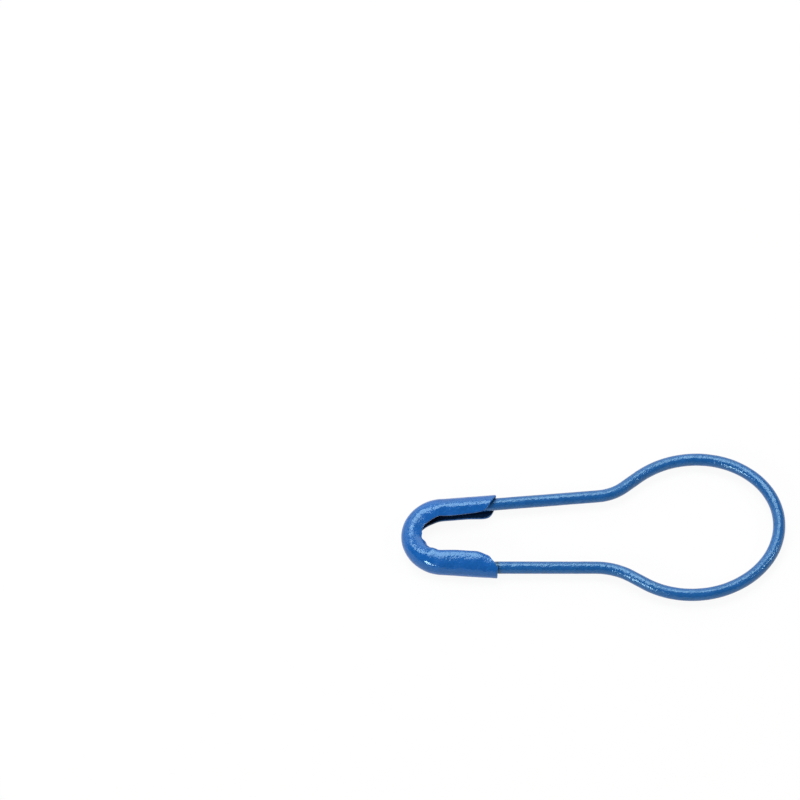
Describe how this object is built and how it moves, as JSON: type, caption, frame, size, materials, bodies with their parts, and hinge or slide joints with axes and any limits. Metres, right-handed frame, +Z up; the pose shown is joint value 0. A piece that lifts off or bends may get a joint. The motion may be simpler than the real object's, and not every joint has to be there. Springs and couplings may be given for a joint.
{
  "type": "bulb safety pin",
  "caption": "Small bulb-shaped safety pin: a painted spring-wire loop with a pointed leg that latches in a folded sheet-metal clasp crimped on the other leg.",
  "frame": {"origin": "on the surface that the pin lies on, under the middle of its outline", "axes": "+Y along the pin from the clasp to the top of the bulb, +Z up and square to the pin's plane, -X the side of the pointed leg and the clasp's open channel"},
  "size_m": [0.0098, 0.022, 0.0012],
  "materials": {
    "wire_enamel": "glossy blue enamel on spring-steel wire",
    "clasp_enamel": "glossy blue enamel with a fine orange-peel grain on folded sheet steel"
  },
  "bodies": {
    "frame": {"clasp": "clasp_enamel", "fixed_leg": "wire_enamel", "bulb_loop": "wire_enamel"},
    "needle": {"needle_arm": "wire_enamel"}
  },
  "joints": [
    {"name": "needle_swing", "type": "hinge", "parent": "frame", "child": "needle", "pos_m": [0, 0.0074, 0.00059], "axis": [0, 0, 1], "range_deg": [0, 8], "stiffness_Nm_per_rad": 0.00001, "springref_deg": -5.73, "deforming": ["bulb_loop"]}
  ]
}
